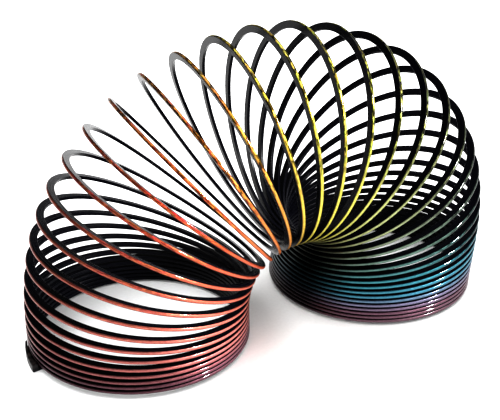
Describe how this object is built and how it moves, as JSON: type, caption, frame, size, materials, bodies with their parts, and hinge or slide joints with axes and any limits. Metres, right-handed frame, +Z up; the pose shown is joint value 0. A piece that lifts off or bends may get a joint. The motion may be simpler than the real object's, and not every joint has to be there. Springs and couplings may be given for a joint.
{
  "type": "spring coil toy",
  "caption": "Desk toy: a flat plastic strip wound as a coil with a metallic outer rim, standing as an arch on its two ends and folding shut into a column.",
  "frame": {"origin": "on the ground under the middle of the arch", "axes": "+X from the left foot to the right foot, +Y away from the front, +Z up"},
  "size_m": [0.1708, 0.075, 0.1004],
  "materials": {
    "coil_strip": "black plastic strip with a mirror-like metallic foil on its outer rim, its colour running round the rainbow",
    "end_clip": "black moulded plastic, satin"
  },
  "bodies": {
    "foot_left": {"end_clip_left": "end_clip", "coil_turn_01": "coil_strip", "coil_turn_02": "coil_strip", "coil_turn_03": "coil_strip", "coil_turn_04": "coil_strip"},
    "turn_05": {"coil_turn_05": "coil_strip"},
    "turn_06": {"coil_turn_06": "coil_strip"},
    "turn_07": {"coil_turn_07": "coil_strip"},
    "turn_08": {"coil_turn_08": "coil_strip"},
    "turn_09": {"coil_turn_09": "coil_strip"},
    "turn_10": {"coil_turn_10": "coil_strip"},
    "turn_11": {"coil_turn_11": "coil_strip"},
    "turn_12": {"coil_turn_12": "coil_strip"},
    "turn_13": {"coil_turn_13": "coil_strip"},
    "turn_14": {"coil_turn_14": "coil_strip"},
    "turn_15": {"coil_turn_15": "coil_strip"},
    "turn_16": {"coil_turn_16": "coil_strip"},
    "turn_17": {"coil_turn_17": "coil_strip"},
    "turn_18": {"coil_turn_18": "coil_strip"},
    "turn_19": {"coil_turn_19": "coil_strip"},
    "turn_20": {"coil_turn_20": "coil_strip"},
    "turn_21": {"coil_turn_21": "coil_strip"},
    "turn_22": {"coil_turn_22": "coil_strip"},
    "turn_23": {"coil_turn_23": "coil_strip"},
    "turn_24": {"coil_turn_24": "coil_strip"},
    "turn_25": {"coil_turn_25": "coil_strip"},
    "turn_26": {"coil_turn_26": "coil_strip"},
    "turn_27": {"coil_turn_27": "coil_strip"},
    "turn_28": {"coil_turn_28": "coil_strip"},
    "turn_29": {"coil_turn_29": "coil_strip"},
    "turn_30": {"coil_turn_30": "coil_strip"},
    "turn_31": {"coil_turn_31": "coil_strip"},
    "turn_32": {"coil_turn_32": "coil_strip"},
    "turn_33": {"coil_turn_33": "coil_strip"},
    "turn_34": {"coil_turn_34": "coil_strip"},
    "turn_35": {"coil_turn_35": "coil_strip"},
    "foot_right": {"coil_turn_36": "coil_strip", "coil_turn_37": "coil_strip", "coil_turn_38": "coil_strip", "coil_turn_39": "coil_strip", "coil_turn_40": "coil_strip", "coil_turn_41": "coil_strip", "end_clip_right": "end_clip"}
  },
  "joints": [
    {"name": "flex_04_05", "type": "hinge", "parent": "foot_left", "child": "turn_05", "pos_m": [-0.00156, 0, 0.01074], "axis": [0, 1, 0], "range_deg": [-0.8236, 0]},
    {"name": "flex_05_06", "type": "hinge", "parent": "turn_05", "child": "turn_06", "pos_m": [-0.00096, 0, 0.01178], "axis": [0, 1, 0], "range_deg": [-1.17, 0]},
    {"name": "flex_06_07", "type": "hinge", "parent": "turn_06", "child": "turn_07", "pos_m": [-0.00058, 0, 0.0127], "axis": [0, 1, 0], "range_deg": [-1.6, 0]},
    {"name": "flex_07_08", "type": "hinge", "parent": "turn_07", "child": "turn_08", "pos_m": [-0.00036, 0, 0.01349], "axis": [0, 1, 0], "range_deg": [-2.12, 0]},
    {"name": "flex_08_09", "type": "hinge", "parent": "turn_08", "child": "turn_09", "pos_m": [-0.00024, 0, 0.01413], "axis": [0, 1, 0], "range_deg": [-2.72, 0]},
    {"name": "flex_09_10", "type": "hinge", "parent": "turn_09", "child": "turn_10", "pos_m": [-0.00023, 0, 0.01459], "axis": [0, 1, 0], "range_deg": [-3.38, 0]},
    {"name": "flex_10_11", "type": "hinge", "parent": "turn_10", "child": "turn_11", "pos_m": [-0.00032, 0, 0.01489], "axis": [0, 1, 0], "range_deg": [-4.1, 0]},
    {"name": "flex_11_12", "type": "hinge", "parent": "turn_11", "child": "turn_12", "pos_m": [-0.00053, 0, 0.01507], "axis": [0, 1, 0], "range_deg": [-4.84, 0]},
    {"name": "flex_12_13", "type": "hinge", "parent": "turn_12", "child": "turn_13", "pos_m": [-0.00084, 0, 0.01521], "axis": [0, 1, 0], "range_deg": [-5.58, 0]},
    {"name": "flex_13_14", "type": "hinge", "parent": "turn_13", "child": "turn_14", "pos_m": [-0.00121, 0, 0.01546], "axis": [0, 1, 0], "range_deg": [-6.29, 0]},
    {"name": "flex_14_15", "type": "hinge", "parent": "turn_14", "child": "turn_15", "pos_m": [-0.00151, 0, 0.01595], "axis": [0, 1, 0], "range_deg": [-6.95, 0]},
    {"name": "flex_15_16", "type": "hinge", "parent": "turn_15", "child": "turn_16", "pos_m": [-0.00158, 0, 0.01679], "axis": [0, 1, 0], "range_deg": [-7.54, 0]},
    {"name": "flex_16_17", "type": "hinge", "parent": "turn_16", "child": "turn_17", "pos_m": [-0.00119, 0, 0.01801], "axis": [0, 1, 0], "range_deg": [-8.04, 0]},
    {"name": "flex_17_18", "type": "hinge", "parent": "turn_17", "child": "turn_18", "pos_m": [-0.00015, 0, 0.01952], "axis": [0, 1, 0], "range_deg": [-8.46, 0]},
    {"name": "flex_18_19", "type": "hinge", "parent": "turn_18", "child": "turn_19", "pos_m": [0.00161, 0, 0.0211], "axis": [0, 1, 0], "range_deg": [-8.79, 0]},
    {"name": "flex_19_20", "type": "hinge", "parent": "turn_19", "child": "turn_20", "pos_m": [0.00399, 0, 0.02246], "axis": [0, 1, 0], "range_deg": [-9.04, 0]},
    {"name": "flex_20_21", "type": "hinge", "parent": "turn_20", "child": "turn_21", "pos_m": [0.00667, 0, 0.02341], "axis": [0, 1, 0], "range_deg": [-9.22, 0]},
    {"name": "flex_21_22", "type": "hinge", "parent": "turn_21", "child": "turn_22", "pos_m": [0.00923, 0, 0.02386], "axis": [0, 1, 0], "range_deg": [-9.33, 0]},
    {"name": "flex_22_23", "type": "hinge", "parent": "turn_22", "child": "turn_23", "pos_m": [0.01121, 0, 0.02394], "axis": [0, 1, 0], "range_deg": [-9.39, 0]},
    {"name": "flex_23_24", "type": "hinge", "parent": "turn_23", "child": "turn_24", "pos_m": [0.01229, 0, 0.02398], "axis": [0, 1, 0], "range_deg": [-9.42, 0]},
    {"name": "arch_fold", "type": "hinge", "parent": "turn_24", "child": "turn_25", "pos_m": [0.01234, 0, 0.02439], "axis": [0, 1, 0], "range_deg": [-9.4, 0]},
    {"name": "flex_25_26", "type": "hinge", "parent": "turn_25", "child": "turn_26", "pos_m": [0.01155, 0, 0.02547], "axis": [0, 1, 0], "range_deg": [-8.79, 0]},
    {"name": "flex_26_27", "type": "hinge", "parent": "turn_26", "child": "turn_27", "pos_m": [0.0105, 0, 0.02705], "axis": [0, 1, 0], "range_deg": [-7.27, 0]},
    {"name": "flex_27_28", "type": "hinge", "parent": "turn_27", "child": "turn_28", "pos_m": [0.00962, 0, 0.0287], "axis": [0, 1, 0], "range_deg": [-5.91, 0]},
    {"name": "flex_28_29", "type": "hinge", "parent": "turn_28", "child": "turn_29", "pos_m": [0.009, 0, 0.03012], "axis": [0, 1, 0], "range_deg": [-4.77, 0]},
    {"name": "flex_29_30", "type": "hinge", "parent": "turn_29", "child": "turn_30", "pos_m": [0.00864, 0, 0.03118], "axis": [0, 1, 0], "range_deg": [-3.83, 0]},
    {"name": "flex_30_31", "type": "hinge", "parent": "turn_30", "child": "turn_31", "pos_m": [0.00849, 0, 0.03186], "axis": [0, 1, 0], "range_deg": [-3.06, 0]},
    {"name": "flex_31_32", "type": "hinge", "parent": "turn_31", "child": "turn_32", "pos_m": [0.00848, 0, 0.03216], "axis": [0, 1, 0], "range_deg": [-2.44, 0]},
    {"name": "flex_32_33", "type": "hinge", "parent": "turn_32", "child": "turn_33", "pos_m": [0.00858, 0, 0.03214], "axis": [0, 1, 0], "range_deg": [-1.93, 0]},
    {"name": "flex_33_34", "type": "hinge", "parent": "turn_33", "child": "turn_34", "pos_m": [0.00877, 0, 0.03186], "axis": [0, 1, 0], "range_deg": [-1.53, 0]},
    {"name": "flex_34_35", "type": "hinge", "parent": "turn_34", "child": "turn_35", "pos_m": [0.00905, 0, 0.03136], "axis": [0, 1, 0], "range_deg": [-1.21, 0]},
    {"name": "flex_35_36", "type": "hinge", "parent": "turn_35", "child": "foot_right", "pos_m": [0.00943, 0, 0.03069], "axis": [0, 1, 0], "range_deg": [-0.9561, 0]}
  ],
  "couplings": [
    {"joint": "flex_04_05", "follows": "arch_fold", "ratio": 0.085459},
    {"joint": "flex_05_06", "follows": "arch_fold", "ratio": 0.12195},
    {"joint": "flex_06_07", "follows": "arch_fold", "ratio": 0.16774},
    {"joint": "flex_07_08", "follows": "arch_fold", "ratio": 0.22289},
    {"joint": "flex_08_09", "follows": "arch_fold", "ratio": 0.28669},
    {"joint": "flex_09_10", "follows": "arch_fold", "ratio": 0.3577},
    {"joint": "flex_10_11", "follows": "arch_fold", "ratio": 0.43383},
    {"joint": "flex_11_12", "follows": "arch_fold", "ratio": 0.51252},
    {"joint": "flex_12_13", "follows": "arch_fold", "ratio": 0.59098},
    {"joint": "flex_13_14", "follows": "arch_fold", "ratio": 0.66646},
    {"joint": "flex_14_15", "follows": "arch_fold", "ratio": 0.73653},
    {"joint": "flex_15_16", "follows": "arch_fold", "ratio": 0.79924},
    {"joint": "flex_16_17", "follows": "arch_fold", "ratio": 0.85325},
    {"joint": "flex_17_18", "follows": "arch_fold", "ratio": 0.89789},
    {"joint": "flex_18_19", "follows": "arch_fold", "ratio": 0.93313},
    {"joint": "flex_19_20", "follows": "arch_fold", "ratio": 0.95948},
    {"joint": "flex_20_21", "follows": "arch_fold", "ratio": 0.9779},
    {"joint": "flex_21_22", "follows": "arch_fold", "ratio": 0.98967},
    {"joint": "flex_22_23", "follows": "arch_fold", "ratio": 0.99625},
    {"joint": "flex_23_24", "follows": "arch_fold", "ratio": 0.99918},
    {"joint": "flex_25_26", "follows": "arch_fold", "ratio": 0.93308},
    {"joint": "flex_26_27", "follows": "arch_fold", "ratio": 0.77098},
    {"joint": "flex_27_28", "follows": "arch_fold", "ratio": 0.62682},
    {"joint": "flex_28_29", "follows": "arch_fold", "ratio": 0.5054},
    {"joint": "flex_29_30", "follows": "arch_fold", "ratio": 0.40509},
    {"joint": "flex_30_31", "follows": "arch_fold", "ratio": 0.32319},
    {"joint": "flex_31_32", "follows": "arch_fold", "ratio": 0.25687},
    {"joint": "flex_32_33", "follows": "arch_fold", "ratio": 0.20348},
    {"joint": "flex_33_34", "follows": "arch_fold", "ratio": 0.16073},
    {"joint": "flex_34_35", "follows": "arch_fold", "ratio": 0.12664},
    {"joint": "flex_35_36", "follows": "arch_fold", "ratio": 0.09955}
  ]
}
